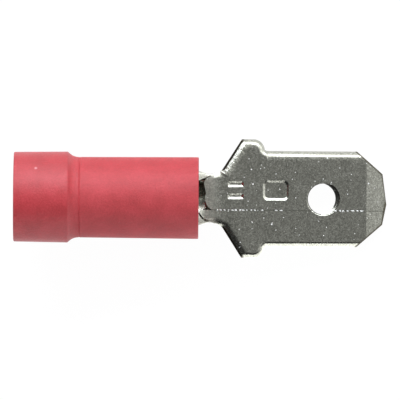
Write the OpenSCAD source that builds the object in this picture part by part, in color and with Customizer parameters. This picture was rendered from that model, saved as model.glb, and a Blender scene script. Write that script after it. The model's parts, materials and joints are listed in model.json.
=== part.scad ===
// Male spade terminal for a crimped wire, 6.3 x 0.8 mm tab, with a moulded insulation sleeve.
// Two pieces: the sleeve, and one tin-plated brass stamping that is rolled into a barrel at the back
// and folded double into the tab at the front. Lengths run along X from the sleeve's wire mouth, Y is
// across the tab, and Z is the tab's normal, until lay_down() sets the part on its resting surface.

/* [Sleeve] */
// Length of the moulded sleeve
sleeve_len = 12.3; // [11.8:0.1:13]
// Length of the wide bell that covers the wire's insulation
bell_len = 3.61; // [3:0.01:4.2]
// Outer diameter of the bell at its mouth
bell_mouth_d = 5.96; // [5.7:0.01:6.3]
// Outer diameter of the bell at its step
bell_step_d = 6.05; // [5.8:0.01:6.4]
// Inner diameter of the bell
bell_bore_d = 4.5; // [4:0.05:4.9]
// Straight depth of the bell's bore, before the funnel
bell_bore_len = 2.9; // [2:0.05:3]
// Outer diameter of the sleeve just behind the step
grip_back_d = 5.35; // [5:0.01:5.6]
// Outer diameter of the sleeve at its front end
grip_front_d = 5.44; // [5:0.01:5.7]
// Radius of the hollow curve between the bell and the narrow part
step_fillet_r = 0.9; // [0.7:0.05:1.4]
// Width of the fine moulding groove at the foot of the step
groove_w = 0.09; // [0.05:0.01:0.2]
// Depth of that groove
groove_depth = 0.035; // [0.02:0.005:0.08]
// Radius of the sleeve's outer end edges
sleeve_edge_r = 0.08; // [0.03:0.01:0.15]

/* [Barrel] */
// Outer diameter of the rolled wire barrel
barrel_d = 3.6; // [3.4:0.05:4]
// Distance from the sleeve's front end back to the front of the barrel's round part
barrel_set_back = 1.76; // [1.5:0.02:2]
// Clearance between the barrel and the sleeve, on the radius and at the funnel's foot
sleeve_fit = 0.02; // [0.01:0.01:0.05]
// Width of the butted seam, in the barrel and in the tab
seam_w = 0.04; // [0.02:0.01:0.08]

/* [Neck] */
// Narrowest width of the neck
neck_w = 3.24; // [3:0.02:3.5]
// Distance from the sleeve's front end to the neck's narrowest place
neck_from_sleeve = 0.66; // [0.5:0.02:0.9]
// Width of the neck where the shoulders start
neck_root_w = 3.62; // [3.4:0.02:4]
// Distance from the neck's narrowest place to the start of the shoulders
neck_root_len = 0.84; // [0.7:0.02:1.2]
// Distance from the sleeve's front end to where the far side starts to rise to the tab
far_ramp_from_sleeve = 0.4; // [0.3:0.02:0.44]
// Length over which the far side of the neck rises to the tab
far_ramp_len = 1.6; // [1.4:0.05:1.9]
// Radius of the hollow corner between the neck and a shoulder's diagonal edge
neck_fillet_r = 0.75; // [0.5:0.05:0.9]
// Distance from the centre line to the window's edge towards +Y, where the neck leaves the sleeve
window_plus_y = 1.18; // [1:0.02:1.3]
// Distance from the end of the round barrel to the back of the window
window_back = 0.5; // [0.3:0.05:1]
// Distance from the sleeve's front end to the back of the folded flap
flap_gap = 0.36; // [0.3:0.01:0.42]
// Radius of the flap's round back corner
flap_corner_r = 0.42; // [0.3:0.01:0.44]
// Radius of the flap's curved edge, from that corner to the seam
flap_sweep_r = 0.92; // [0.85:0.01:1]
// How far the flap's curved edge lies in front of its back corner
flap_slant = 0.08; // [0.02:0.01:0.14]
// Width of the notches between the flaps and the neck's side walls
notch_w = 0.12; // [0.08:0.01:0.16]
// Distance from the sleeve's front end to the back of the small flap, across the seam
small_flap_gap = 0.08; // [0.04:0.01:0.12]
// Radius of the small flap's round back corner
small_flap_r = 0.68; // [0.6:0.01:0.7]

/* [Shoulders] */
// Width over the shoulders
shoulder_w = 7.88; // [7.2:0.02:8.4]
// Angle of the sheared diagonal edges, measured from the long axis
shoulder_angle = 57.6; // [50:0.2:65]
// Length of the shoulder from its sharp corner to its front
shoulder_len = 1.53; // [1.3:0.01:2]
// Radius of the rounded front corner of the shoulder
shoulder_lobe_r = 0.75; // [0.5:0.05:0.9]
// Radius of the hollow corner between the shoulder's front and the tab's edge
lobe_blend_r = 0.27; // [0.15:0.01:0.4]
// Width of the rolled-over strip along the sheared diagonal edges
roll_w = 0.5; // [0.2:0.05:0.6]
// How far the surface has dropped at those edges
roll_drop = 0.14; // [0.05:0.01:0.18]

/* [Tab] */
// Width of the tab
tab_w = 6.35; // [6.2:0.05:6.6]
// Thickness of the folded tab
tab_t = 0.8; // [0.7:0.05:0.9]
// Length of the tab from the shoulder to the point of its tip
tab_len = 8.1; // [7.8:0.05:9]
// Gap left between the two folded layers
fold_gap = 0.04; // [0.02:0.01:0.06]
// Distance of the fold's seam from the tab's centre line, towards -Y
seam_y = 0.78; // [0.5:0.02:1]
// Angle of the corner chamfers, measured from the long axis
chamfer_angle = 41.2; // [35:0.2:50]
// Width of the tip between the chamfers
tip_w = 3.36; // [3:0.02:3.8]
// How far the shallow point of the tip stands out
tip_rise = 0.27; // [0.1:0.01:0.4]
// Distance of that point from the centre line, towards -Y
tip_offset = 0.35; // [0:0.01:0.6]
// Length of the lead-in bevel on both faces
bevel_len = 1.33; // [1:0.01:1.6]
// Depth of the lead-in bevel on each face, at the tip
bevel_depth = 0.2; // [0.1:0.01:0.28]
// Diameter of the locking hole
hole_d = 2.06; // [1.8:0.02:2.2]
// Distance from the hole's centre to the point of the tip
hole_from_tip = 4.19; // [3.8:0.01:4.5]
// Width of the rounded-down rim of the hole, on both faces
hole_rim_w = 0.1; // [0.05:0.01:0.15]
// Depth of that rim
hole_rim_depth = 0.07; // [0.03:0.01:0.12]

/* [Coined marks] */
// Depth of the coined marks in the near layer
mark_depth = 0.1; // [0.05:0.01:0.14]
// Width of the sloping wall round each mark
mark_wall = 0.13; // [0.05:0.01:0.16]
// Length of the large plain recess's floor
recess_len = 1.45; // [1:0.05:1.6]
// Width of the large plain recess's floor
recess_w = 1.05; // [0.8:0.05:1.2]
// Radius of the recess's corners
recess_corner_r = 0.25; // [0.1:0.05:0.35]
// Distance from the front of the shoulder to the middle of the recess
recess_from_shoulder = 0.75; // [0.5:0.05:1]
// Distance of the recess's middle from the centre line, towards +Y
recess_y = 0.55; // [0.3:0.05:0.7]
// Length of the floor of the small coined bars on the shoulders
bar_len = 0.8; // [0.5:0.05:0.9]
// Width of the floor of those bars
bar_w = 0.12; // [0.08:0.02:0.2]
// Distance between the two bars
bar_pitch = 0.8; // [0.5:0.05:1]

/* [Hidden] */
$fn = 96;
// Overlap where two solids are joined, and how far a cut runs past the surface that it opens
lap = 0.05;
past = 1;

// Sleeve: radii and places along the axis
bell_mouth_r = bell_mouth_d / 2;
bell_step_r = bell_step_d / 2;
grip_back_r = grip_back_d / 2;
grip_front_r = grip_front_d / 2;
step_drop = bell_step_r - grip_back_r;
step_run = sqrt(pow(step_fillet_r, 2) - pow(step_fillet_r - step_drop, 2));
step_end = bell_len + step_run;
funnel_foot = step_end;

// Sheet and barrel: the tab is two layers of the same sheet that the barrel is rolled from
sheet_t = (tab_t - fold_gap) / 2;
barrel_r = barrel_d / 2;
bore_r = barrel_r - sheet_t;
barrel_back = funnel_foot + sleeve_fit;
barrel_front = sleeve_len - barrel_set_back;
barrel_len = barrel_front - barrel_back;

// Places along the neck, shoulders and tab
neck_x = sleeve_len + neck_from_sleeve;
root_x = neck_x + neck_root_len;
flap_x = sleeve_len + flap_gap;
ramp_x = sleeve_len + far_ramp_from_sleeve;
ramp_end_x = ramp_x + far_ramp_len;
corner_x = root_x + (shoulder_w - neck_root_w) / 2 / tan(shoulder_angle);
shoulder_front = corner_x + shoulder_len;
tip_x = shoulder_front + tab_len;
tip_corner_x = tip_x - tip_rise;
chamfer_x = tip_corner_x - (tab_w - tip_w) / 2 / tan(chamfer_angle);
bevel_x = tip_x - bevel_len;
hole_x = tip_x - hole_from_tip;
tab_half = tab_t / 2;
lobe_x = shoulder_front - shoulder_lobe_r;
lobe_y = shoulder_w / 2 - shoulder_lobe_r;

// Rest: the part lies on the front bottom rim of the sleeve and on the first edge of the tab to touch
rim_x = sleeve_len - sleeve_edge_r;
rim_z = -(grip_front_r - sleeve_edge_r);
tip_half = tab_half - bevel_depth;
rest_tilt = min(lean(bevel_x, -tab_half), lean(tip_x, -tip_half));
floor_z = -rim_x * sin(rest_tilt) + rim_z * cos(rest_tilt) - sleeve_edge_r;
back_x = sleeve_edge_r * cos(rest_tilt)
    - (bell_mouth_r - sleeve_edge_r) * sin(rest_tilt) - sleeve_edge_r;
front_x = tip_x * cos(rest_tilt) + tip_half * sin(rest_tilt);

// Loft: rings along the neck, and points on each quarter of a ring
loft_steps = 30;
quarter_steps = 8;
// Flats in a rolled-over edge, and in each curve of a plan
roll_steps = 5;
arc_steps = 8;
// How square the neck's section becomes: 2 is round, and more is flatter with tighter corners. The onset
// sets how late the corners appear: more is later, and they must stay inside the barrel's circle
fold_power = 10;
fold_onset = 7;
// Depth to which one surface is bedded in another where they meet at a grazing angle
bed = 0.02;

// Where a shoulder's hollow corner and its straight diagonal meet, and the centre of the hollow
fillet_run = neck_fillet_r * tan(shoulder_angle / 2);
fillet_foot_y = half_w(root_x - fillet_run);
fillet_x = root_x - (neck_root_w / 2 - fillet_foot_y) / tan(shoulder_angle) - fillet_run;
fillet_y = fillet_foot_y + neck_fillet_r;

// Angle at which the point [x, z] under the tab comes down to the same floor as the sleeve's rim
function lean(x, z) = atan((z - rim_z) / (x - rim_x))
    + asin(sleeve_edge_r / norm([x - rim_x, z - rim_z]));

function ease(u) = let (c = min(max(u, 0), 1)) c * c * (3 - 2 * c);

// Height of the near side and depth of the far side of the neck, from its middle plane
function near_h(x) = barrel_r
    - (barrel_r - tab_half) * ease((x - barrel_front) / (flap_x + flap_slant - barrel_front));
function far_h(x) = barrel_r - (barrel_r - tab_half) * ease((x - ramp_x) / far_ramp_len);

// Half the width of the neck: narrowing out of the sleeve, then flaring to the shoulders
function waist(x) = barrel_r - (barrel_r - neck_w / 2) * ease((x - sleeve_len) / neck_from_sleeve);
function flare(x) = (neck_root_w - neck_w) / 2 * pow(max(x - neck_x, 0) / neck_root_len, 2);
function half_w(x) = waist(x) + flare(x);

// Power of a section's curve when that side of the neck is h high: a round tube, then a flat fold
function power(h) = 2 + (fold_power - 2) * pow((barrel_r - h) / (barrel_r - tab_half), fold_onset);

// Section of what is cut away over a rolled-over edge: u is the distance in from the edge, and the
// surface is w wide and smoothly drops by drop to the edge. The cut runs back past the edge.
function roll_cut(w, drop, back) = concat(
    [[-back, tab_t], [-back, tab_half - drop]],
    [for (i = [0:roll_steps]) [w * i / roll_steps, tab_half - drop * pow(1 - i / roll_steps, 2)]],
    [[w, tab_t]]
);

// A cosine or sine raised to the power k, with its sign kept
function bent(c, k) = sign(c) * pow(abs(c), k);

// One ring of the neck at x, in from the outer surface by inset
function ring(x, inset) = let (w = half_w(x) - inset) [
    for (q = [0:3]) let (side = (q < 2) ? near_h(x) : far_h(x), k = 2 / power(side))
        for (i = [0:quarter_steps - 1]) let (a = q * 90 + i * 90 / quarter_steps)
            [x, w * bent(cos(a), k), (side - inset) * bent(sin(a), k)]
];

function loft_x(i, from, to) = from + (to - from) * i / loft_steps;

// Solid through the rings, closed at both ends
module neck_loft(from, to, inset) {
    count = 4 * quarter_steps;
    points = [for (i = [0:loft_steps]) each ring(loft_x(i, from, to), inset)];
    sides = [for (i = [0:loft_steps - 1], j = [0:count - 1])
        let (a = i * count + j, b = i * count + (j + 1) % count) [a, a + count, b + count, b]];
    back = [[for (j = [0:count - 1]) j]];
    front = [[for (j = [count - 1:-1:0]) loft_steps * count + j]];
    polyhedron(points, concat(back, sides, front), convexity = 4);
}

// Revolve an outline of [along the axis, radius] points about the long axis
module about_axis() {
    rotate([90, 0, 90]) rotate_extrude() rotate([0, 0, 90]) mirror([0, 1, 0]) children();
}

function arc(cx, cy, r, from, to, steps) = [for (i = [0:steps])
    let (a = from + (to - from) * i / steps) [cx + r * cos(a), cy + r * sin(a)]];

module insulation_sleeve_body() {
    step_turn = asin(step_run / step_fillet_r);
    outer = concat(
        arc(sleeve_edge_r, bell_mouth_r - sleeve_edge_r, sleeve_edge_r, 180, 90, 4),
        arc(step_end, grip_back_r + step_fillet_r, step_fillet_r, 270 - step_turn, 270, 10),
        [[step_end + groove_w / 2, grip_back_r - groove_depth], [step_end + groove_w, grip_back_r]],
        arc(rim_x, grip_front_r - sleeve_edge_r, sleeve_edge_r, 90, 0, 4)
    );
    inner = [
        [sleeve_len, barrel_r + sleeve_fit],
        [funnel_foot, barrel_r + sleeve_fit],
        [funnel_foot, bore_r],
        [bell_bore_len, bell_bore_d / 2],
        [0, bell_bore_d / 2]
    ];
    about_axis() polygon(concat(outer, inner));
}

// Round wire barrel, rolled from the sheet with a butted seam on the near side
module barrel() {
    translate([barrel_back, 0, 0]) rotate([0, 90, 0]) difference() {
        cylinder(r = barrel_r, h = barrel_len);
        translate([0, 0, -past]) cylinder(r = bore_r, h = barrel_len + 2 * past);
    }
}

// Neck: the tube goes over into the folded sheet, and is open on the near side behind the flaps
module neck() {
    difference() {
        neck_loft(barrel_front - lap, ramp_end_x + lap, bed / 2);
        neck_loft(barrel_front - 2 * lap, ramp_end_x + 2 * lap, sheet_t - bed / 2);
    }
}

// Plan of the window: the barrel's wings stop short of it, and the folded flaps start at its front
module window_plan() {
    back = barrel_front + window_back;
    corner = [flap_x + flap_corner_r, window_plus_y - flap_corner_r / 2];
    flap_turn = 20;
    sweep_end = 180 + asin(seam_y / flap_sweep_r);
    sweep_x = corner[0] + flap_sweep_r - flap_corner_r + flap_slant;
    polygon(concat(
        [[back, -seam_y]],
        arc(sweep_x, 0, flap_sweep_r, sweep_end, 180 - flap_turn, arc_steps),
        arc(corner[0], corner[1], flap_corner_r, 180 + flap_turn, 90, arc_steps),
        [
            [corner[0], corner[1] + flap_corner_r + notch_w],
            [sleeve_len, window_plus_y],
            [back, window_plus_y]
        ]
    ));
}

// Plan of the curved notch behind the small flap, which lies across the seam from the window
module small_notch_plan() {
    centre_x = sleeve_len + small_flap_gap + small_flap_r;
    from = 178;
    to = 262;
    polygon(concat(
        arc(centre_x, -seam_y, small_flap_r, from, to, arc_steps),
        arc(centre_x, -seam_y, small_flap_r + notch_w, to, from, arc_steps)
    ));
}

// Section of the folded tab across its width, with the fold as the round long edges
module fold_section() {
    flat = (tab_w - tab_t) / 2;
    square([2 * flat, tab_t], center = true);
    for (s = [-1, 1]) translate([s * flat, 0]) circle(d = tab_t);
}

module tab_plan() {
    polygon([
        [corner_x, -tab_w],
        [chamfer_x - tab_w / 2 / tan(chamfer_angle), -tab_w],
        [tip_corner_x, -tip_w / 2],
        [tip_x, -tip_offset],
        [tip_corner_x, tip_w / 2],
        [chamfer_x - tab_w / 2 / tan(chamfer_angle), tab_w],
        [corner_x, tab_w]
    ]);
}

module tab() {
    intersection() {
        translate([corner_x, 0, 0]) rotate([90, 0, 90])
            linear_extrude(tip_x - corner_x) fold_section();
        translate([0, 0, -tab_t]) linear_extrude(2 * tab_t) tab_plan();
    }
}

// Disc with a fully rounded rim: a corner of the shoulders, where the fold bulges outwards
module lobe() {
    rotate_extrude($fn = 32) {
        translate([0, -tab_half]) square([shoulder_lobe_r - tab_half, tab_t]);
        intersection() {
            translate([shoulder_lobe_r - tab_half, 0]) circle(r = tab_half, $fn = 32);
            translate([0, -tab_half]) square([shoulder_lobe_r, tab_t]);
        }
    }
}

// Plan of one half of the shoulders, with a hollow corner where the sheared diagonal leaves the neck
module half_shoulder_plan() {
    reach = shoulder_w / 2;
    polygon(concat(
        [
            [tip_x, 0],
            [root_x, 0],
            [root_x, fillet_foot_y - neck_fillet_r / 2],
            [fillet_x, fillet_foot_y - bed]
        ],
        arc(fillet_x, fillet_y, neck_fillet_r, 270, 270 + shoulder_angle, arc_steps),
        [
            [root_x + reach / tan(shoulder_angle), neck_root_w / 2 + reach],
            [tip_x, neck_root_w / 2 + reach]
        ]
    ));
}

// Cuts that leave the rolled-over strip along both sheared diagonals and hollow corners, on one face
module edge_rolls() {
    run = shoulder_w / 2;
    section = roll_cut(roll_w, roll_drop, neck_fillet_r / 2);
    for (s = [0, 1]) mirror([0, s, 0]) translate([fillet_x, fillet_y, 0]) {
        rotate([0, 0, 270]) rotate_extrude(angle = shoulder_angle)
            translate([neck_fillet_r, 0]) polygon(section);
        rotate([0, 0, shoulder_angle - 90]) translate([neck_fillet_r, run, 0]) rotate([90, 0, 0])
            linear_extrude(run) polygon(section);
    }
}

// Hollow corner between a shoulder's front and the tab's edge: the fold's round rim turned inwards
module lobe_blend() {
    centre_y = tab_w / 2 + lobe_blend_r - bed;
    reach = shoulder_lobe_r + lobe_blend_r - bed;
    bend = asin((centre_y - lobe_y) / reach);
    translate([lobe_x + reach * cos(bend), centre_y, 0]) rotate([0, 0, 180 + bend])
        rotate_extrude(angle = 90 - bend) translate([lobe_blend_r + tab_half, 0]) {
            circle(r = tab_half);
            translate([0, -tab_half]) square([tab_half, tab_t]);
        }
}

module shoulders() {
    intersection() {
        hull() for (x = [root_x - shoulder_lobe_r, lobe_x], s = [-1, 1])
            translate([x, s * lobe_y, 0]) lobe();
        translate([0, 0, -tab_t]) linear_extrude(2 * tab_t)
            for (s = [0, 1]) mirror([0, s]) half_shoulder_plan();
    }
    for (s = [0, 1]) mirror([0, s, 0]) lobe_blend();
}

module round_bar(l, w, r) {
    square([l, w - 2 * r], center = true);
    square([l - 2 * r, w], center = true);
    for (sx = [-1, 1], sy = [-1, 1]) translate([sx * (l / 2 - r), sy * (w / 2 - r)])
        circle(r = r, $fn = 32);
}

// A plain coined mark with sloping walls round its floor, cut a little past the surface
module coined_mark(l, w, r) {
    taller = 1.5;
    spread = 2 * mark_wall * taller;
    widen = [1 + spread / l, 1 + spread / w];
    translate([0, 0, tab_half - mark_depth])
        linear_extrude(mark_depth * taller, scale = widen, slices = 1) round_bar(l, w, r);
}

// Plain coined recess and two plain bars in the near layer
module coined_marks() {
    translate([shoulder_front + recess_from_shoulder, recess_y, 0])
        coined_mark(recess_len, recess_w, recess_corner_r);
    for (i = [0, 1]) translate([corner_x - bar_len / 2, recess_y + (0.5 - i) * bar_pitch, 0])
        coined_mark(bar_len, bar_w, bar_w / 3);
}

// Locking hole, with its rim rounded down on both faces
module locking_hole() {
    rim = roll_cut(hole_rim_w, hole_rim_depth, hole_d / 4);
    translate([hole_x, 0, -tab_t]) cylinder(d = hole_d, h = 2 * tab_t);
    for (s = [0, 1]) mirror([0, 0, s]) translate([hole_x, 0, 0])
        rotate_extrude() translate([hole_d / 2, 0]) polygon(rim);
}

// Lead-in bevels on both faces of the tip
module bevels() {
    wedge = [
        [bevel_x, tab_half],
        [tip_x + bevel_len, tab_half - 2 * bevel_depth],
        [tip_x + bevel_len, tab_t],
        [bevel_x, tab_t]
    ];
    for (s = [0, 1]) mirror([0, 0, s]) rotate([90, 0, 0])
        linear_extrude(2 * tab_w, center = true) polygon(wedge);
}

// A slot of the fold's gap, from x0 to x1 and w wide
module fold_slot(x0, x1, w) {
    translate([x0, -w / 2, -fold_gap / 2]) cube([x1 - x0, w, fold_gap]);
}

// A butted seam through the near layer, from x0 to x1, at y
module seam(x0, x1, y) {
    translate([x0, y - seam_w / 2, 0]) cube([x1 - x0, seam_w, barrel_r + past]);
}

// Gap between the two layers of the fold, and the seams where the blank's edges meet
module fold_gaps() {
    rims = 2 * sheet_t + fold_gap;
    fold_slot(root_x - lap, tip_x + past, neck_root_w - rims);
    fold_slot(corner_x, shoulder_front - shoulder_lobe_r, shoulder_w - rims);
    fold_slot(corner_x, tip_x + past, tab_w - rims);
    seam(neck_x, tip_x + past, -seam_y);
    seam(barrel_back - past, barrel_front + window_back + lap, 0);
}

module terminal_body() {
    difference() {
        union() {
            barrel();
            neck();
            shoulders();
            tab();
        }
        linear_extrude(barrel_d) {
            window_plan();
            small_notch_plan();
        }
        fold_gaps();
        for (s = [0, 1]) mirror([0, 0, s]) edge_rolls();
        bevels();
        coined_marks();
        locking_hole();
    }
}

// Set the part down as it comes to rest, with the middle of its box over the origin
module lay_down() {
    translate([-(back_x + front_x) / 2, 0, -floor_z]) rotate([0, rest_tilt, 0]) children();
}

module insulation_sleeve() {
    color([0.76, 0.2, 0.22]) lay_down() insulation_sleeve_body();
}

module terminal() {
    color([0.62, 0.62, 0.58]) lay_down() terminal_body();
}

insulation_sleeve();
terminal();
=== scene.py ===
# %% [markdown]
# # A male spade terminal in a red sleeve
# This lesson dresses a crimp terminal: a stamped, tin-plated brass tab that is folded double, with its
# round barrel hidden in a moulded sleeve of soft red vinyl. The solid model is loaded first and is the
# fixed frame. Everything made here takes its size and place from it, in metres.

# %% Load the frame
import bmesh
import bpy
import json
import math
import random
from mathutils import Matrix, Vector


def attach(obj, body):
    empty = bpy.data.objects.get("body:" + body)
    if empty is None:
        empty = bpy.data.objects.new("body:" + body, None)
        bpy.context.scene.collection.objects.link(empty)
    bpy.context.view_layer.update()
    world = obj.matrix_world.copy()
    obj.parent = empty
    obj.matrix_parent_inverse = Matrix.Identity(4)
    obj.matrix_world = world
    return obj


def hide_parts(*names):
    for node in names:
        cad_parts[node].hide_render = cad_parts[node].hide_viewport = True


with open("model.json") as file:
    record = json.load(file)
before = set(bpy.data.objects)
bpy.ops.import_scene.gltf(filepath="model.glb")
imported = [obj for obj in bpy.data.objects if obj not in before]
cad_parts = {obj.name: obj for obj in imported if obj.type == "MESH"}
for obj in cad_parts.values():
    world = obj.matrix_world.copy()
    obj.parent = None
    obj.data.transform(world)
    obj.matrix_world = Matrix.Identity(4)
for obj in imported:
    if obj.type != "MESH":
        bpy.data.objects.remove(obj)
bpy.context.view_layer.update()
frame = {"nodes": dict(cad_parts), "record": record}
MM = 0.001
mounts = {m["name"]: m for m in frame["record"]["mounts"]}

# %% [markdown]
# ## The part's own axes
# The real part lies on the sleeve's front rim and the tab's tip, so its long axis dips a little. It is
# easier to model along straight axes: X from the wire mouth to the tip, Y across the tab, Z out of the
# tab's near face, all in millimetres. The mounts say where those axes lie, and one matrix sets a
# finished mesh down in its place.

# %% Axes from the mounts
entry = mounts["insulation_entry"]
hole = mounts["locking_hole"]
wire_out = Vector(entry["axis"]).normalized()
along = -wire_out
normal = Vector(hole["axis"]).normalized()
across = normal.cross(along)
mouth = Vector(entry["pos_m"]) + wire_out * entry["dims"]["length_mm"] / 2 * MM
dip = math.atan2(-along.z, along.x)
turn = Matrix((along, across, normal)).transposed().to_4x4()
lay_down = Matrix.Translation(mouth) @ turn
lay_mm = lay_down @ Matrix.Scale(MM, 4)
to_part = lay_mm.inverted()
hole_x = (to_part @ Vector(hole["pos_m"])).x
HOLE_R = hole["dims"]["r_mm"]
# The tab's two faces lie this far above and below the axis.
FACE_Z = 0.4
print(f"the axis dips {math.degrees(dip):.2f} degrees; the hole is {hole_x:.2f} mm from the mouth")

# %% [markdown]
# ## Small helpers for materials
# Colours are written as sRGB hex values, as a paint chart gives them, and the shader wants linear
# light, so one function converts them. Another adds a node with its settings, its links and, on a
# colour ramp, its stops. Every pattern is placed in the part's own millimetres, so a scale of 8 is
# eight grains to a millimetre.

# %% Colour and node helpers
def linear(hex_colour):
    channels = [int(hex_colour[i:i + 2], 16) / 255 for i in (1, 3, 5)]
    return tuple(c / 12.92 if c <= 0.04045 else ((c + 0.055) / 1.055) ** 2.4 for c in channels) + (1.0,)


WHITE = linear("#ffffff")


def add(tree, kind, links=None, values=None, stops=None, **settings):
    """Add a node; a colour ramp's stops are pairs of a position and a hex colour or grey level."""
    node = tree.nodes.new(kind)
    for name, value in settings.items():
        setattr(node, name, value)
    for socket, value in (values or {}).items():
        node.inputs[socket].default_value = value
    for socket, source in (links or {}).items():
        tree.links.new(source, node.inputs[socket])
    if stops:
        elements = node.color_ramp.elements
        while len(elements) < len(stops):
            elements.new(0.5)
        for element, (position, value) in zip(elements, stops):
            element.position = position
            element.color = linear(value) if isinstance(value, str) else (value, value, value, 1)
    return node


def new_material(name):
    material = bpy.data.materials.new(name)
    material.use_nodes = True
    material.node_tree.nodes.clear()
    return material, material.node_tree


def finish_material(material, shader):
    tree = material.node_tree
    add(tree, "ShaderNodeOutputMaterial", {"Surface": shader.outputs[0]})
    print(f"{material.name}: {len(tree.nodes)} nodes")
    return material


def part_millimetres(tree):
    """Object coordinates turned to the part's own axes, in millimetres from the wire mouth."""
    coordinates = add(tree, "ShaderNodeTexCoord").outputs["Object"]
    back = {"Location": to_part.to_translation(), "Rotation": to_part.to_euler(), "Scale": (1 / MM,) * 3}
    mapping = add(tree, "ShaderNodeMapping", {"Vector": coordinates}, back, vector_type="POINT")
    return mapping.outputs[0]


print("#be343b in linear light:", [round(channel, 3) for channel in linear("#be343b")])

# %% [markdown]
# ## The camera
# The photograph looks straight at the tab's near face with a long lens, so the sleeve's mouth shows as
# a straight edge. The frame is 400 pixels wide, and the tab's 6.35 mm is 95.5 pixels, which gives the
# width of the view. A lens of 1000 mm from three quarters of a metre away keeps it flat.

# %% Camera
PIXELS_PER_MM = 15.04
FRAME_PIXELS = 400
LENS = 1000
SENSOR = 36
view_width = FRAME_PIXELS / PIXELS_PER_MM * MM
distance = view_width * LENS / SENSOR
mouth_pixel_x = 13.6
axis_pixel_y = 198.1
centre_x = (FRAME_PIXELS / 2 - mouth_pixel_x) / PIXELS_PER_MM
centre_y = (axis_pixel_y - FRAME_PIXELS / 2) / PIXELS_PER_MM
roll = math.radians(0.45)
camera_data = bpy.data.cameras.new("camera")
camera_data.lens = LENS
camera_data.sensor_width = SENSOR
camera_data.clip_start = 0.01
camera = bpy.data.objects.new("camera", camera_data)
bpy.context.scene.collection.objects.link(camera)
target = lay_mm @ Vector((centre_x, centre_y, 0))
camera.matrix_world = Matrix.Translation(target + normal * distance) @ turn @ Matrix.Rotation(roll, 4, "Z")
bpy.context.scene.camera = camera
print(f"camera {distance:.3f} m away, view {view_width / MM:.1f} mm wide")

# %% [markdown]
# ## Red vinyl
# The sleeve is plasticised PVC, injection moulded in a lightly blasted tool. That gives the eye a satin
# skin: one soft highlight along its length, a fine mottled grain and slight changes of the red. The real
# grain is finer than a pixel, so it is drawn about an eighth of a millimetre wide. PVC has an index of
# refraction of about 1.53.

# %% Red vinyl material
BELL_LEN = 3.61
SPECK_AT = (1.49, 1.9, 2.31)


def red_vinyl():
    material, tree = new_material("moulded_red_vinyl")
    place = part_millimetres(tree)
    along_axis = add(tree, "ShaderNodeSeparateXYZ", {0: place}).outputs["X"]
    cloud = add(tree, "ShaderNodeTexNoise", {"Vector": place},
                {"Scale": 0.8, "Detail": 3.0, "Roughness": 0.6}).outputs["Fac"]
    grain = add(tree, "ShaderNodeTexNoise", {"Vector": place},
                {"Scale": 8.5, "Detail": 4.0, "Roughness": 0.72}).outputs["Fac"]
    mottle = add(tree, "ShaderNodeMix", {"A": grain, "B": cloud}, {"Factor": 0.5}, data_type="FLOAT").outputs[0]
    colour = add(tree, "ShaderNodeValToRGB", {"Fac": mottle},
                 stops=[(0.35, "#b02c33"), (0.5, "#be343b"), (0.65, "#cb3e46")]).outputs[0]
    # One small pale spot mixed into the bell's colour. A Mix node's sockets 6 and 7 are its colours A and B.
    to_speck = add(tree, "ShaderNodeVectorMath", {0: place}, {1: SPECK_AT}, operation="DISTANCE")
    speck = add(tree, "ShaderNodeMapRange", {"Value": to_speck.outputs["Value"]},
                {"From Min": 0.03, "From Max": 0.13, "To Min": 0.6, "To Max": 0.0}).outputs[0]
    colour = add(tree, "ShaderNodeMix", {0: speck, 6: colour}, {7: linear("#f3c4c6")},
                 data_type="RGBA").outputs[2]
    # The bell is polished and the grip is blasted, so the grip's highlight is broad and faint.
    grip = add(tree, "ShaderNodeMapRange", {"Value": along_axis},
               {"From Min": BELL_LEN - 0.05, "From Max": BELL_LEN + 0.6, "To Min": 0.2, "To Max": 0.35})
    rough = add(tree, "ShaderNodeMath", {0: grain, 2: grip.outputs[0]}, {1: 0.3},
                operation="MULTIPLY_ADD").outputs[0]
    bump = add(tree, "ShaderNodeBump", {"Height": grain}, {"Strength": 1.0, "Distance": 0.04 * MM}).outputs[0]
    shader = add(tree, "ShaderNodeBsdfPrincipled", {"Base Color": colour, "Roughness": rough, "Normal": bump},
                 {"IOR": 1.53})
    return finish_material(material, shader)


vinyl = red_vinyl()

# %% [markdown]
# ## Tin plate on brass
# The strip is plated before it is sheared, rolled and folded. Bright tin shows its surroundings, but
# tumbling leaves it with fine scuffs and small dents that catch the light; those glints are painted in
# as white flecks. The die drags the metal along the sheared diagonals into short grooves. The thin band
# of unplated metal round each sheared edge is painted dark, partly for the unplated metal and partly as
# painted shade on the rounded edge, and a darker line of painted shade runs along the near rims of the
# diagonals and the hole. Each mask below is written as two places in the part's own millimetres: where it
# is whole and where it has ended.

# %% Masks that follow the stamping
# Each sheared edge of the tab's upper half: a corner on it in millimetres, and its direction in degrees.
TAB_EDGES = {
    "diagonal": ((13.8, 1.81, 0), 57.6),
    "chamfer": ((24.512, 1.68, 0), -41.2),
    "tip": ((24.512, 1.68, 0), -80.9),
}


def from_edge(tree, place, edge):
    """Distance in from a sheared edge, and distance along it, in millimetres; both halves are alike."""
    corner, degrees = TAB_EDGES[edge]
    angle = math.radians(degrees)
    split = add(tree, "ShaderNodeSeparateXYZ", {0: place})
    side = add(tree, "ShaderNodeMath", {0: split.outputs["Y"]}, operation="ABSOLUTE")
    half = add(tree, "ShaderNodeCombineXYZ", {"X": split.outputs["X"], "Y": side.outputs[0]})
    shifted = add(tree, "ShaderNodeVectorMath", {0: half.outputs[0]}, {1: corner}, operation="SUBTRACT")
    inward = add(tree, "ShaderNodeVectorMath", {0: shifted.outputs[0]},
                 {1: (math.sin(angle), -math.cos(angle), 0)}, operation="DOT_PRODUCT")
    onward = add(tree, "ShaderNodeVectorMath", {0: shifted.outputs[0]},
                 {1: (math.cos(angle), math.sin(angle), 0)}, operation="DOT_PRODUCT")
    return inward.outputs["Value"], onward.outputs["Value"]


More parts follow.
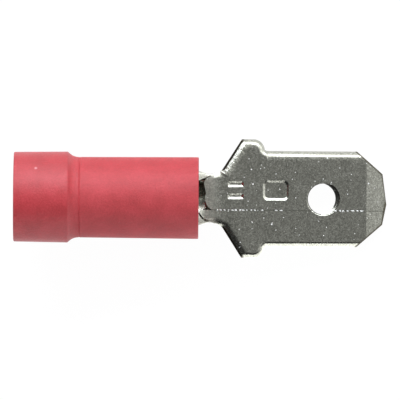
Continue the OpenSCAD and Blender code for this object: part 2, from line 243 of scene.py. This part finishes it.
def fade(tree, value, solid, gone):
    """A mask: one where value is at or beyond solid, falling smoothly to zero at gone."""
    node = add(tree, "ShaderNodeMapRange", {"Value": value},
               {"From Min": solid, "From Max": gone, "To Min": 1.0, "To Max": 0.0},
               interpolation_type="SMOOTHSTEP")
    return node.outputs[0]


def kept_within(tree, value, *masks):
    """A mask or a height, kept only where each of the masks is one."""
    for mask in masks:
        value = add(tree, "ShaderNodeMath", {0: value, 1: mask}, operation="MULTIPLY").outputs[0]
    return value


def either(tree, mask, *others):
    """Several masks as one: the largest of them everywhere."""
    for other in others:
        mask = add(tree, "ShaderNodeMath", {0: mask, 1: other}, operation="MAXIMUM").outputs[0]
    return mask


def flecks(tree, place, per_mm, radius, share):
    """Round flecks of about radius millimetres, in this share of the pattern's cells."""
    cells = add(tree, "ShaderNodeTexVoronoi", {"Vector": place}, {"Scale": per_mm, "Randomness": 1.0})
    dot = fade(tree, cells.outputs["Distance"], radius * per_mm * 0.6, radius * per_mm)
    number = add(tree, "ShaderNodeSeparateColor", {0: cells.outputs["Color"]}).outputs[0]
    return kept_within(tree, dot, fade(tree, number, share, share + 0.01))


print("sheared edges:", ", ".join(TAB_EDGES))

# %% [markdown]
# ## What the dies do to the plate's surface
# Some forms are too shallow for the mesh and still show in a mirror. The last shearing stroke drags the
# upper diagonal into grooves. The upper fold and the lower diagonal roll off towards their edges. The
# barrel's floor leans a little under the window. So they are heights for Bump nodes.

# %% Grooves, roll-off and lean
TAB_HALF = 3.175
SHOULDER_HALF = 3.94
ROLL_OFF = 0.2
UPPER_ROLL_WIDTH = 0.72
LOWER_ROLL_WIDTH = 0.785
LEAN_START = 12.5
LEAN_ALONG = 0.09
LEAN_ACROSS = 0.25


def drag_grooves(tree, place, y):
    """Grooves across the sheared diagonal, strongest on the side that was sheared last."""
    inward, onward = from_edge(tree, place, "diagonal")
    drawn_out = add(tree, "ShaderNodeCombineXYZ", {"X": inward, "Y": onward})
    drawn_out = add(tree, "ShaderNodeVectorMath", {0: drawn_out.outputs[0]}, {1: (1.5, 6.5, 0)},
                    operation="MULTIPLY")
    grooves = add(tree, "ShaderNodeTexNoise", {"Vector": drawn_out.outputs[0]},
                  {"Scale": 1.0, "Detail": 3.0, "Roughness": 0.7}).outputs["Fac"]
    return kept_within(tree, grooves, fade(tree, inward, 0.35, 0.75), fade(tree, onward, 0.1, -0.25),
                       fade(tree, y, 0.5, -0.8))


def sunk(tree, distance, width):
    """Zero on the flat face, growing as a square from this width away down to the edge itself."""
    inside = add(tree, "ShaderNodeMath", {1: distance}, {0: width}, operation="SUBTRACT").outputs[0]
    inside = add(tree, "ShaderNodeMath", {0: inside}, {1: 0.0}, operation="MAXIMUM").outputs[0]
    return add(tree, "ShaderNodeMath", {0: inside, 1: inside}, operation="MULTIPLY").outputs[0]


def soft_relief(tree, place, x, y, z, fine):
    """Roll-off of the upper fold and the lower diagonal, and the lean of the barrel's floor."""
    half_width = add(tree, "ShaderNodeMapRange", {"Value": x},
                     {"From Min": 16.6, "From Max": 16.9, "To Min": SHOULDER_HALF, "To Max": TAB_HALF})
    to_fold = add(tree, "ShaderNodeMath", {0: half_width.outputs[0], 1: y}, operation="SUBTRACT").outputs[0]
    upper = kept_within(tree, sunk(tree, to_fold, UPPER_ROLL_WIDTH), fade(tree, x, 15.2, 14.9))
    inward, onward = from_edge(tree, place, "diagonal")
    ragged = add(tree, "ShaderNodeMath", {0: fine, 2: inward}, {1: 0.05}, operation="MULTIPLY_ADD").outputs[0]
    lower = kept_within(tree, sunk(tree, ragged, LOWER_ROLL_WIDTH), fade(tree, onward, 0.3, -0.2),
                        fade(tree, y, -1.0, -0.5))
    slope = add(tree, "ShaderNodeMath", {0: x}, {1: -LEAN_ALONG, 2: LEAN_ALONG * LEAN_START},
                operation="MULTIPLY_ADD").outputs[0]
    slope = add(tree, "ShaderNodeMath", {0: y, 2: slope}, {1: LEAN_ACROSS}, operation="MULTIPLY_ADD").outputs[0]
    lean = kept_within(tree, slope, fade(tree, z, -0.9, -0.6), fade(tree, x, 12.9, 13.3))
    return add(tree, "ShaderNodeMath", {0: either(tree, upper, lower), 2: lean}, {1: -ROLL_OFF},
               operation="MULTIPLY_ADD").outputs[0]


def sheared_walls_and_painted_shade(tree, place, z):
    """Masks for the sheared walls, dark both as unplated metal and as painted shade, and for a line of painted
    shade at the near rim of diagonals and hole.
    """
    inward, onward = from_edge(tree, place, "diagonal")
    # The walls along the diagonal and the ends are painted dark, partly for unplated metal and partly as
    # painted shade.
    diagonal = kept_within(tree, fade(tree, inward, 0.1, 0.2), fade(tree, onward, 0.2, 0.0))
    ends = [fade(tree, from_edge(tree, place, edge)[0], 0.06, 0.12) for edge in ("chamfer", "tip")]
    to_hole = add(tree, "ShaderNodeVectorMath", {0: place}, {1: (hole_x, 0, FACE_Z)}, operation="DISTANCE")
    rim = fade(tree, to_hole.outputs["Value"], HOLE_R + 0.02, HOLE_R + 0.08)
    # The dark line at the near rims is painted shade, on the near face only.
    painted_edge_shade = kept_within(tree, either(tree, diagonal, rim), fade(tree, z, 0.3, 0.2))
    return either(tree, diagonal, *ends), painted_edge_shade


print(f"the surface rolls off by up to {ROLL_OFF * UPPER_ROLL_WIDTH ** 2:.2f} mm of bump")

# %% Tin material
def tin_plate():
    material, tree = new_material("tumbled_tin_plate")
    place = part_millimetres(tree)
    x, y, z = add(tree, "ShaderNodeSeparateXYZ", {0: place}).outputs
    # Real scuffs are finer than a pixel, so they are drawn about an eighth of a millimetre wide.
    fine = add(tree, "ShaderNodeTexNoise", {"Vector": place},
               {"Scale": 8.0, "Detail": 4.0, "Roughness": 0.75}).outputs["Fac"]
    cloud = add(tree, "ShaderNodeTexNoise", {"Vector": place},
                {"Scale": 1.1, "Detail": 3.0, "Roughness": 0.55}).outputs["Fac"]

    # Painted glints as white flecks of two sizes, and a grit of single crystals that each take the light
    # differently.
    painted_glints = either(tree, flecks(tree, place, 3.8, 0.038, 0.4), flecks(tree, place, 1.4, 0.065, 0.3))
    grit = add(tree, "ShaderNodeTexVoronoi", {"Vector": place}, {"Scale": 13.0}).outputs["Color"]
    grit = add(tree, "ShaderNodeSeparateColor", {0: grit}).outputs[1]
    mottle = add(tree, "ShaderNodeMix", {2: fine, 3: cloud}, {0: 0.5}, data_type="FLOAT").outputs[0]
    mottle = add(tree, "ShaderNodeMix", {2: mottle, 3: grit}, {0: 0.35}, data_type="FLOAT").outputs[0]
    colour = add(tree, "ShaderNodeValToRGB", {"Fac": mottle},
                 stops=[(0.25, "#9d9e95"), (0.5, "#babbb0"), (0.75, "#d6d7cd")]).outputs[0]

    # Each tint lies over the last: white flecks of painted glint, sheared walls painted dark both as unplated
    # metal and as painted shade, and the dark line of painted shade at the rims.
    bare_and_shaded_walls, painted_edge_shade = sheared_walls_and_painted_shade(tree, place, z)
    for mask, tint in ((painted_glints, "#f4f4ee"), (bare_and_shaded_walls, "#5e5a4e"), (painted_edge_shade, "#1f1d18")):
        colour = add(tree, "ShaderNodeMix", {0: mask, 6: colour}, {7: linear(tint)},
                     data_type="RGBA").outputs[2]

    # The flaps were struck by the folding die, and the bend beside them is stretched, so both are duller.
    side = add(tree, "ShaderNodeMath", {0: y}, operation="ABSOLUTE").outputs[0]
    struck = kept_within(tree, fade(tree, x, 13.0, 14.2), fade(tree, z, 0.35, 0.2))
    stretched = kept_within(tree, fade(tree, x, 13.2, 13.8), fade(tree, side, 1.36, 1.24))
    plain = add(tree, "ShaderNodeValToRGB", {"Fac": fine}, stops=[(0.3, 0.15), (0.7, 0.27)]).outputs[0]
    dulled = add(tree, "ShaderNodeMix", {0: struck, 2: plain}, {3: 0.34}, data_type="FLOAT").outputs[0]
    spoiled = add(tree, "ShaderNodeMath", {0: either(tree, painted_glints, bare_and_shaded_walls, stretched)}, {1: 0.55},
                  operation="MULTIPLY").outputs[0]
    rough = either(tree, spoiled, dulled)
    # Where a glint is painted in, the surface is not metal, so its white colour shows from every side.
    metal = add(tree, "ShaderNodeMath", {1: painted_glints}, {0: 1.0}, operation="SUBTRACT").outputs[0]

    # Three bumps, each on top of the one before: scuffs, dragged grooves, and the soft roll-off.
    scuff = add(tree, "ShaderNodeBump", {"Height": fine}, {"Strength": 0.6, "Distance": 0.014 * MM})
    dragged = add(tree, "ShaderNodeBump", {"Height": drag_grooves(tree, place, y), "Normal": scuff.outputs[0]},
                  {"Strength": 1.0, "Distance": 0.07 * MM})
    rolled = add(tree, "ShaderNodeBump",
                 {"Height": soft_relief(tree, place, x, y, z, fine), "Normal": dragged.outputs[0]},
                 {"Strength": 1.0, "Distance": 1.0 * MM})
    shader = add(tree, "ShaderNodeBsdfPrincipled",
                 {"Base Color": colour, "Roughness": rough, "Metallic": metal, "Normal": rolled.outputs[0]})
    return finish_material(material, shader)


tin = tin_plate()

# %% [markdown]
# ## The sleeve as a turned shape
# The real sleeve is one injection-moulded tube: a bell that takes the wire's insulation, a funnel inside
# it, a step with a hollow curve, and a narrow part that grips the barrel. Everything on it is round about
# one axis, so its section is drawn once and spun. The sharp rings are bevelled afterwards, each with its
# own radius, because a moulded edge is never quite sharp.

# %% Section of the sleeve
SLEEVE_LEN = 12.3
BELL_MOUTH_R = 2.98
BELL_STEP_R = 3.025
BELL_BORE_R = entry["dims"]["r_mm"]
BELL_BORE_LEN = entry["dims"]["length_mm"]
GRIP_BACK_R = 2.675
GRIP_FRONT_R = 2.72
STEP_FILLET_R = 0.9
GROOVE_W = 0.09
GROOVE_DEPTH = 0.035
BARREL_R = 1.8
SLEEVE_FIT = 0.02
BARREL_BORE_R = mounts["wire_barrel"]["dims"]["r_mm"]

step_run = math.sqrt(STEP_FILLET_R ** 2 - (STEP_FILLET_R - BELL_STEP_R + GRIP_BACK_R) ** 2)
step_end = BELL_LEN + step_run


def hollow_step(count):
    """Points (x, radius) down the hollow curve from the bell's corner to the grip."""
    start = math.asin(step_run / STEP_FILLET_R)
    angles = [start * (1 - i / count) for i in range(count + 1)]
    return [(step_end - STEP_FILLET_R * math.sin(a), GRIP_BACK_R + STEP_FILLET_R * (1 - math.cos(a)))
            for a in angles]


outer = [(0, BELL_MOUTH_R)] + hollow_step(12) + [
    (step_end + GROOVE_W / 2, GRIP_BACK_R - GROOVE_DEPTH),
    (step_end + GROOVE_W, GRIP_BACK_R),
    (SLEEVE_LEN, GRIP_FRONT_R)]
inner = [
    (SLEEVE_LEN, BARREL_R + SLEEVE_FIT),
    (step_end, BARREL_R + SLEEVE_FIT),
    (step_end, BARREL_BORE_R),
    (BELL_BORE_LEN, BELL_BORE_R),
    (0, BELL_BORE_R)]
print(f"section of {len(outer) + len(inner)} points; the step ends {step_end:.2f} mm from the mouth")

# %% Spin, then soften the rings
SPIN_STEPS = 144
SAME_PLACE = 1e-4
CRISP_ANGLE = math.radians(35)
# Each ring's place along the axis, its radius and its rounding.
SLEEVE_RINGS = [
    (0, BELL_MOUTH_R, 0.08),
    (SLEEVE_LEN, GRIP_FRONT_R, 0.08),
    (BELL_LEN, BELL_STEP_R, 0.07),
    (0, BELL_BORE_R, 0.1),
    (SLEEVE_LEN, BARREL_R + SLEEVE_FIT, 0.05),
]


def ring_edges(bm, x, radius):
    """Edges that run round the axis at one place of the section."""
    def on_ring(vert):
        off = max(abs(vert.co.x - x), abs(math.hypot(vert.co.y, vert.co.z) - radius))
        return off < SAME_PLACE
    return [e for e in bm.edges if all(on_ring(v) for v in e.verts)]


def spun_sleeve():
    bm = bmesh.new()
    verts = [bm.verts.new((x, radius, 0)) for x, radius in outer + inner]
    for a, b in zip(verts, verts[1:] + verts[:1]):
        bm.edges.new((a, b))
    bmesh.ops.spin(bm, geom=bm.verts[:] + bm.edges[:], cent=(0, 0, 0), axis=(1, 0, 0),
                   angle=math.tau, steps=SPIN_STEPS, use_merge=True, use_duplicate=False)
    for x, radius, rounding in SLEEVE_RINGS:
        bmesh.ops.bevel(bm, geom=ring_edges(bm, x, radius), offset=rounding, segments=4, profile=0.5,
                        affect="EDGES", material=-1, clamp_overlap=True)
    # The bell's rounding eats up the first short run of the step and leaves a ring without length.
    bmesh.ops.dissolve_degenerate(bm, dist=SAME_PLACE, edges=bm.edges)
    bmesh.ops.recalc_face_normals(bm, faces=bm.faces)
    for edge in bm.edges:
        edge.smooth = edge.calc_face_angle() < CRISP_ANGLE
    return bm


def make_piece(name, bm, material):
    """Finish a bmesh that was modelled in the part's millimetres as a piece of the scene."""
    bmesh.ops.transform(bm, matrix=lay_mm, verts=bm.verts)
    mesh = bpy.data.meshes.new(name)
    for face in bm.faces:
        face.smooth = True
    bm.to_mesh(mesh)
    bm.free()
    mesh.materials.append(material)
    piece = bpy.data.objects.new(name, mesh)
    bpy.context.scene.collection.objects.link(piece)
    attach(piece, "root")
    print(f"{name}: {len(mesh.vertices)} vertices, {len(mesh.polygons)} faces")
    return piece


sleeve = make_piece("moulded_sleeve", spun_sleeve(), vinyl)
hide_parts("insulation_sleeve")

# %% [markdown]
# ## The stamped terminal
# The real terminal comes off a progressive die: sheared, plated, rolled and folded. The solid already has
# every fold, window and rolled-over edge, so its mesh is copied. The copy's loose triangles are merged,
# its flat runs are dissolved, and every sharp edge gets a tiny rounding. Tumbling takes a few hundredths
# of a millimetre off each edge, and that thin bright line is what makes a stamping look real.

# %% Merge, dissolve and round the copy
MERGE_DISTANCE = 0.0004
FLAT_ANGLE = math.radians(0.6)
SHARP_ANGLE = math.radians(28)
EDGE_ROUNDING = 0.03
# An edge between two broad faces, in square millimetres, stays crisp from a smaller angle on.
BROAD_FACE = 0.3
BROAD_CRISP_ANGLE = math.radians(7)
SMALL_CRISP_ANGLE = math.radians(20)


def tumbled_terminal(node):
    bm = bmesh.new()
    bm.from_mesh(node.data)
    bmesh.ops.transform(bm, matrix=to_part, verts=bm.verts)
    bmesh.ops.remove_doubles(bm, verts=bm.verts, dist=MERGE_DISTANCE)
    bmesh.ops.dissolve_limit(bm, angle_limit=FLAT_ANGLE, verts=bm.verts, edges=bm.edges)
    sharp = [e for e in bm.edges if e.is_manifold and e.calc_face_angle() > SHARP_ANGLE]
    bmesh.ops.bevel(bm, geom=sharp, offset=EDGE_ROUNDING, segments=2, profile=0.5, affect="EDGES",
                    material=-1, clamp_overlap=True)
    for edge in bm.edges:
        broad = min(face.calc_area() for face in edge.link_faces) > BROAD_FACE
        edge.smooth = edge.calc_face_angle() < (BROAD_CRISP_ANGLE if broad else SMALL_CRISP_ANGLE)
    print(f"{len(sharp)} edges rounded, {sum(1 for e in bm.edges if not e.smooth)} kept crisp")
    return bm


terminal = make_piece("stamped_terminal", tumbled_terminal(frame["nodes"]["terminal"]), tin)
weighted = terminal.modifiers.new("flat_faces_stay_flat", "WEIGHTED_NORMAL")
weighted.weight = 80
weighted.keep_sharp = True
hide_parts("terminal")

# %% [markdown]
# ## Burrs in the seam
# Where the two edges of the blank butt, the press has smeared small burrs across the join. They are
# slivers about 0.08 mm wide, some touching and some apart. They are torn and not plated smooth, and the
# white flash of their glints is painted into their colour, a near white that is not metal. Each one is a
# short box with its ends pinched, lying nearly flush with the face.

# %% Torn metal with a painted glint
def torn_metal_painted_glint():
    """Torn metal with its glint painted in as a near white that scatters light instead of mirroring it."""
    material, tree = new_material("torn_burr_painted_glint")
    place = part_millimetres(tree)
    grain = add(tree, "ShaderNodeTexNoise", {"Vector": place}, {"Scale": 20.0, "Detail": 2.0}).outputs["Fac"]
    colour = add(tree, "ShaderNodeValToRGB", {"Fac": grain}, stops=[(0.3, "#d8d8d0"), (0.6, "#fafaf6")])
    shader = add(tree, "ShaderNodeBsdfPrincipled", {"Base Color": colour.outputs[0]}, {"Roughness": 0.5})
    return finish_material(material, shader)


burr_glint_material = torn_metal_painted_glint()

# %% Slivers along the seam
SEAM_Y = -0.78
BURR_HEIGHT = 0.03
BURR_SUNK = 0.008
BURR_PINCH = 0.55
# Each run's start and end along the seam, and its number of burrs.
BURR_RUNS = [(13.45, 16.65, 13), (17.3, 17.9, 2), (21.25, 23.25, 7)]


def burr(bm, x, length, width):
    made = bmesh.ops.create_cube(bm, size=1.0)["verts"]
    bmesh.ops.scale(bm, vec=(length, width, BURR_HEIGHT), verts=made)
    for vert in made:
        if vert.co.x * vert.co.y > 0:
            vert.co.x *= BURR_PINCH
    bmesh.ops.translate(bm, vec=(x, SEAM_Y, FACE_Z - BURR_SUNK), verts=made)


def seam_burrs():
    bm = bmesh.new()
    chance = random.Random(7)
    for start, stop, count in BURR_RUNS:
        pitch = (stop - start) / count
        for i in range(count):
            burr(bm, start + pitch * (i + 0.5 + chance.uniform(-0.2, 0.2)), pitch * chance.uniform(0.3, 1.1),
                 chance.uniform(0.06, 0.11))
    return bm


burrs = make_piece("seam_burrs", seam_burrs(), burr_glint_material)

# %% [markdown]
# ## The far layer's hole
# Both layers are pierced while the blank is still flat, and after folding the two holes never line up
# quite. Here the far one sits about 0.2 mm nearer to the sleeve, so a dark crescent of it shows in the
# near one. Its outline is two arcs of one radius about the two centres. They are bridged into a strip,
# the strip is extruded through the far layer, and the top is tipped in, as a punch leaves it.

# %% Crescent in the hole
SHIFT = Vector((-0.22, 0.02))
SHEET = 0.38
LIP_ABOVE_FACE = 0.03
LIP_HEIGHT = SHEET - 0.05
LIP_TIP_IN = 0.45


def far_layer_lip(steps=40):
    """The crescent's two arcs, bridged, raised through the far layer and tipped in towards the hole."""
    facing = math.atan2(-SHIFT.y, -SHIFT.x)
    reach = math.acos(SHIFT.length / 2 / HOLE_R)
    bm = bmesh.new()
    for centre, span in ((Vector((0, 0)), math.pi - reach), (SHIFT, reach)):
        points = []
        for i in range(1, steps):
            angle = facing + span * (2 * i / steps - 1)
            point = centre + HOLE_R * Vector((math.cos(angle), math.sin(angle)))
            points.append(bm.verts.new((hole_x + point.x, point.y, -FACE_Z + LIP_ABOVE_FACE)))
        for one, other in zip(points, points[1:]):
            bm.edges.new((one, other))
    strip = bmesh.ops.bridge_loops(bm, edges=bm.edges[:])["faces"]
    grown = bmesh.ops.extrude_face_region(bm, geom=strip)["geom"]
    top = [item for item in grown if isinstance(item, bmesh.types.BMVert)]
    bmesh.ops.translate(bm, vec=(0, 0, LIP_HEIGHT), verts=top)
    for vert in top:
        vert.co.z -= LIP_TIP_IN * (HOLE_R - math.hypot(vert.co.x - hole_x, vert.co.y))
    bmesh.ops.recalc_face_normals(bm, faces=bm.faces)
    for edge in bm.edges:
        edge.smooth = edge.is_manifold and edge.calc_face_angle() < CRISP_ANGLE
    return bm


lip = make_piece("far_layer_lip", far_layer_lip(), tin)

# %% [markdown]
# ## Floor, cards and light
# The photograph is a product shot on white. A grey ceiling hangs over the part, a white card stands
# behind it, and another lies low in front. The metal shows all of them: grey on the flat tab, white on the
# upper fold and in the hollow neck, dark then white on the lower fold. Three dark flags give the dark
# lines between, and a bright strip on the floor shows in the lower fold and the neck's lower flank. The
# cards are seen only in reflections, so they don't light the vinyl or throw a shadow.

# %% Planes of the stage
def stage_plane(name, size, matrix, material, reflected_only=True):
    mesh = bpy.data.meshes.new(name)
    bm = bmesh.new()
    bm.loops.layers.uv.new("UVMap")
    bmesh.ops.create_grid(bm, x_segments=1, y_segments=1, size=0.5, calc_uvs=True)
    bmesh.ops.scale(bm, vec=(*size, 1), verts=bm.verts)
    bmesh.ops.transform(bm, matrix=matrix, verts=bm.verts)
    bm.to_mesh(mesh)
    bm.free()
    mesh.materials.append(material)
    plane = bpy.data.objects.new(name, mesh)
    bpy.context.scene.collection.objects.link(plane)
    plane.visible_camera = plane.visible_shadow = plane.visible_diffuse = not reflected_only


def seen_or_mirrored(tree):
    """One for rays from the camera, also by way of metal or glass, and zero for light that spreads."""
    rays = add(tree, "ShaderNodeLightPath").outputs
    return either(tree, rays["Is Camera Ray"], rays["Is Glossy Ray"], rays["Is Transmission Ray"])


def floor_material():
    """Grey paint that takes the shadow, under a glow that only the camera and reflections see."""
    material, tree = new_material("white_floor")
    share = add(tree, "ShaderNodeMath", {0: seen_or_mirrored(tree)}, {1: 0.9}, operation="MULTIPLY")
    paint = add(tree, "ShaderNodeBsdfDiffuse", values={"Color": linear("#d0d0d0")})
    glow = add(tree, "ShaderNodeEmission", values={"Color": WHITE, "Strength": 1.07})
    mix = add(tree, "ShaderNodeMixShader", {0: share.outputs[0], 1: paint.outputs[0], 2: glow.outputs[0]})
    return finish_material(material, mix)


stage_plane("floor", (6, 6), Matrix.Identity(4), floor_material(), reflected_only=False)

# %% Ceiling
CEILING_HEIGHT = 1.0
CEILING_DARK_X = 0.2


def ceiling_material():
    """Grey overhead, darker straight above the part and lighter towards the walls."""
    material, tree = new_material("grey_ceiling")
    place = add(tree, "ShaderNodeTexCoord").outputs["Object"]
    away = add(tree, "ShaderNodeVectorMath", {0: place}, {1: (CEILING_DARK_X, 0, CEILING_HEIGHT)},
               operation="SUBTRACT")
    away = add(tree, "ShaderNodeVectorMath", {0: away.outputs[0]}, {1: (1, 0.25, 1)}, operation="MULTIPLY")
    radius = add(tree, "ShaderNodeVectorMath", {0: away.outputs[0]}, operation="LENGTH").outputs["Value"]
    level = add(tree, "ShaderNodeValToRGB", {"Fac": radius}, stops=[(0.1, 0.2), (0.3, 0.47), (1.0, 0.8)])
    # Its end towards the picture's lower side is nearly dark.
    forward = add(tree, "ShaderNodeSeparateXYZ", {0: place}).outputs["Y"]
    shade = add(tree, "ShaderNodeMapRange", {"Value": forward},
                {"From Min": -0.62, "From Max": -0.5, "To Min": 0.1, "To Max": 1.0})
    glow = add(tree, "ShaderNodeEmission", {"Color": level.outputs[0], "Strength": shade.outputs[0]})
    return finish_material(material, glow)


stage_plane("grey_ceiling", (3.2, 3.2), Matrix.Translation((0, 0, CEILING_HEIGHT)), ceiling_material())

# %% Cards and flags
CARD_FADE = 0.1
# Name, direction in the part's axes, distance, size, level, and level at the edge nearest the camera.
CARDS = [
    ("white_card", (0.36, 0.755, 0.656), 0.66, (1.2, 0.98), 1.7, 0.2),
    ("dark_flag", (0, -0.731, 0.682), 0.62, (1.6, 0.4), 0.03, 0.03),
    ("back_flag", (-0.74, 0.12, 0.66), 0.6, (0.5, 0.4), 0.05, 0.3),
    ("corner_flag", (-0.62, -0.4, 0.6), 0.56, (0.75, 0.82), 0.02, 0.12),
    ("low_card", (0.3, -0.93, 0.207), 0.7, (1.2, 0.33), 2.0, 2.0),
]


def card_material(name, level, edge_level):
    """An even card whose edge nearest the camera fades to the level of what hangs beside it."""
    material, tree = new_material(name)
    on_card = add(tree, "ShaderNodeTexCoord").outputs["UV"]
    up_card = add(tree, "ShaderNodeSeparateXYZ", {0: on_card}).outputs["Y"]
    strength = add(tree, "ShaderNodeMapRange", {"Value": up_card},
                   {"From Min": 0.0, "From Max": CARD_FADE, "To Min": edge_level, "To Max": level})
    glow = add(tree, "ShaderNodeEmission", {"Strength": strength.outputs[0]}, {"Color": WHITE})
    return finish_material(material, glow)


for name, direction, reach, size, level, edge_level in CARDS:
    away = Vector(direction).normalized()
    down = (away.z * away - Vector((0, 0, 1))).normalized()
    facing = Matrix((down.cross(away), down, away)).transposed().to_4x4()
    place = Matrix.Translation(target) @ turn @ Matrix.Translation(away * reach) @ facing
    stage_plane(name, size, place, card_material(name, level, edge_level))

# The strip lies a hair above the floor, below the tab's lower fold and away from it.
strip_place = Matrix.Translation((0.0085, -0.203, 0.0002))
stage_plane("floor_strip", (0.017, 0.4), strip_place, card_material("floor_strip", 2.0, 2.0))

# %% World
world = bpy.data.worlds.new("white_room")
bpy.context.scene.world = world
world.use_nodes = True
world_tree = world.node_tree
world_tree.nodes.clear()
fill = add(world_tree, "ShaderNodeBackground", values={"Color": (0.95, 0.97, 1, 1), "Strength": 0.5})
sky = add(world_tree, "ShaderNodeBackground", values={"Color": WHITE, "Strength": 1.0})
mix = add(world_tree, "ShaderNodeMixShader",
          {0: seen_or_mirrored(world_tree), 1: fill.outputs[0], 2: sky.outputs[0]})
add(world_tree, "ShaderNodeOutputWorld", {"Surface": mix.outputs[0]})
bpy.context.scene.view_settings.view_transform = "Standard"
print("world:", world.name)

# %% Softboxes
def softbox(name, angle, reach, size, power, colour=(1, 1, 1)):
    """An area light tipped by angle from the tab's normal towards +Y, facing the part."""
    data = bpy.data.lights.new(name, "AREA")
    data.shape = "RECTANGLE"
    data.size, data.size_y = size
    data.energy = power
    data.color = colour
    lamp = bpy.data.objects.new(name, data)
    bpy.context.scene.collection.objects.link(lamp)
    lamp.matrix_world = (Matrix.Translation(target) @ turn @ Matrix.Rotation(-math.radians(angle), 4, "X")
                         @ Matrix.Translation((0, 0, reach)))
    print(f"{name}: {power} W, {angle} degrees from the tab's normal")


softbox("key_box", 52, 0.6, (0.9, 0.22), 4.55, (0.87, 0.91, 1.0))
softbox("fill_box", -66, 0.7, (0.9, 0.2), 0.6)
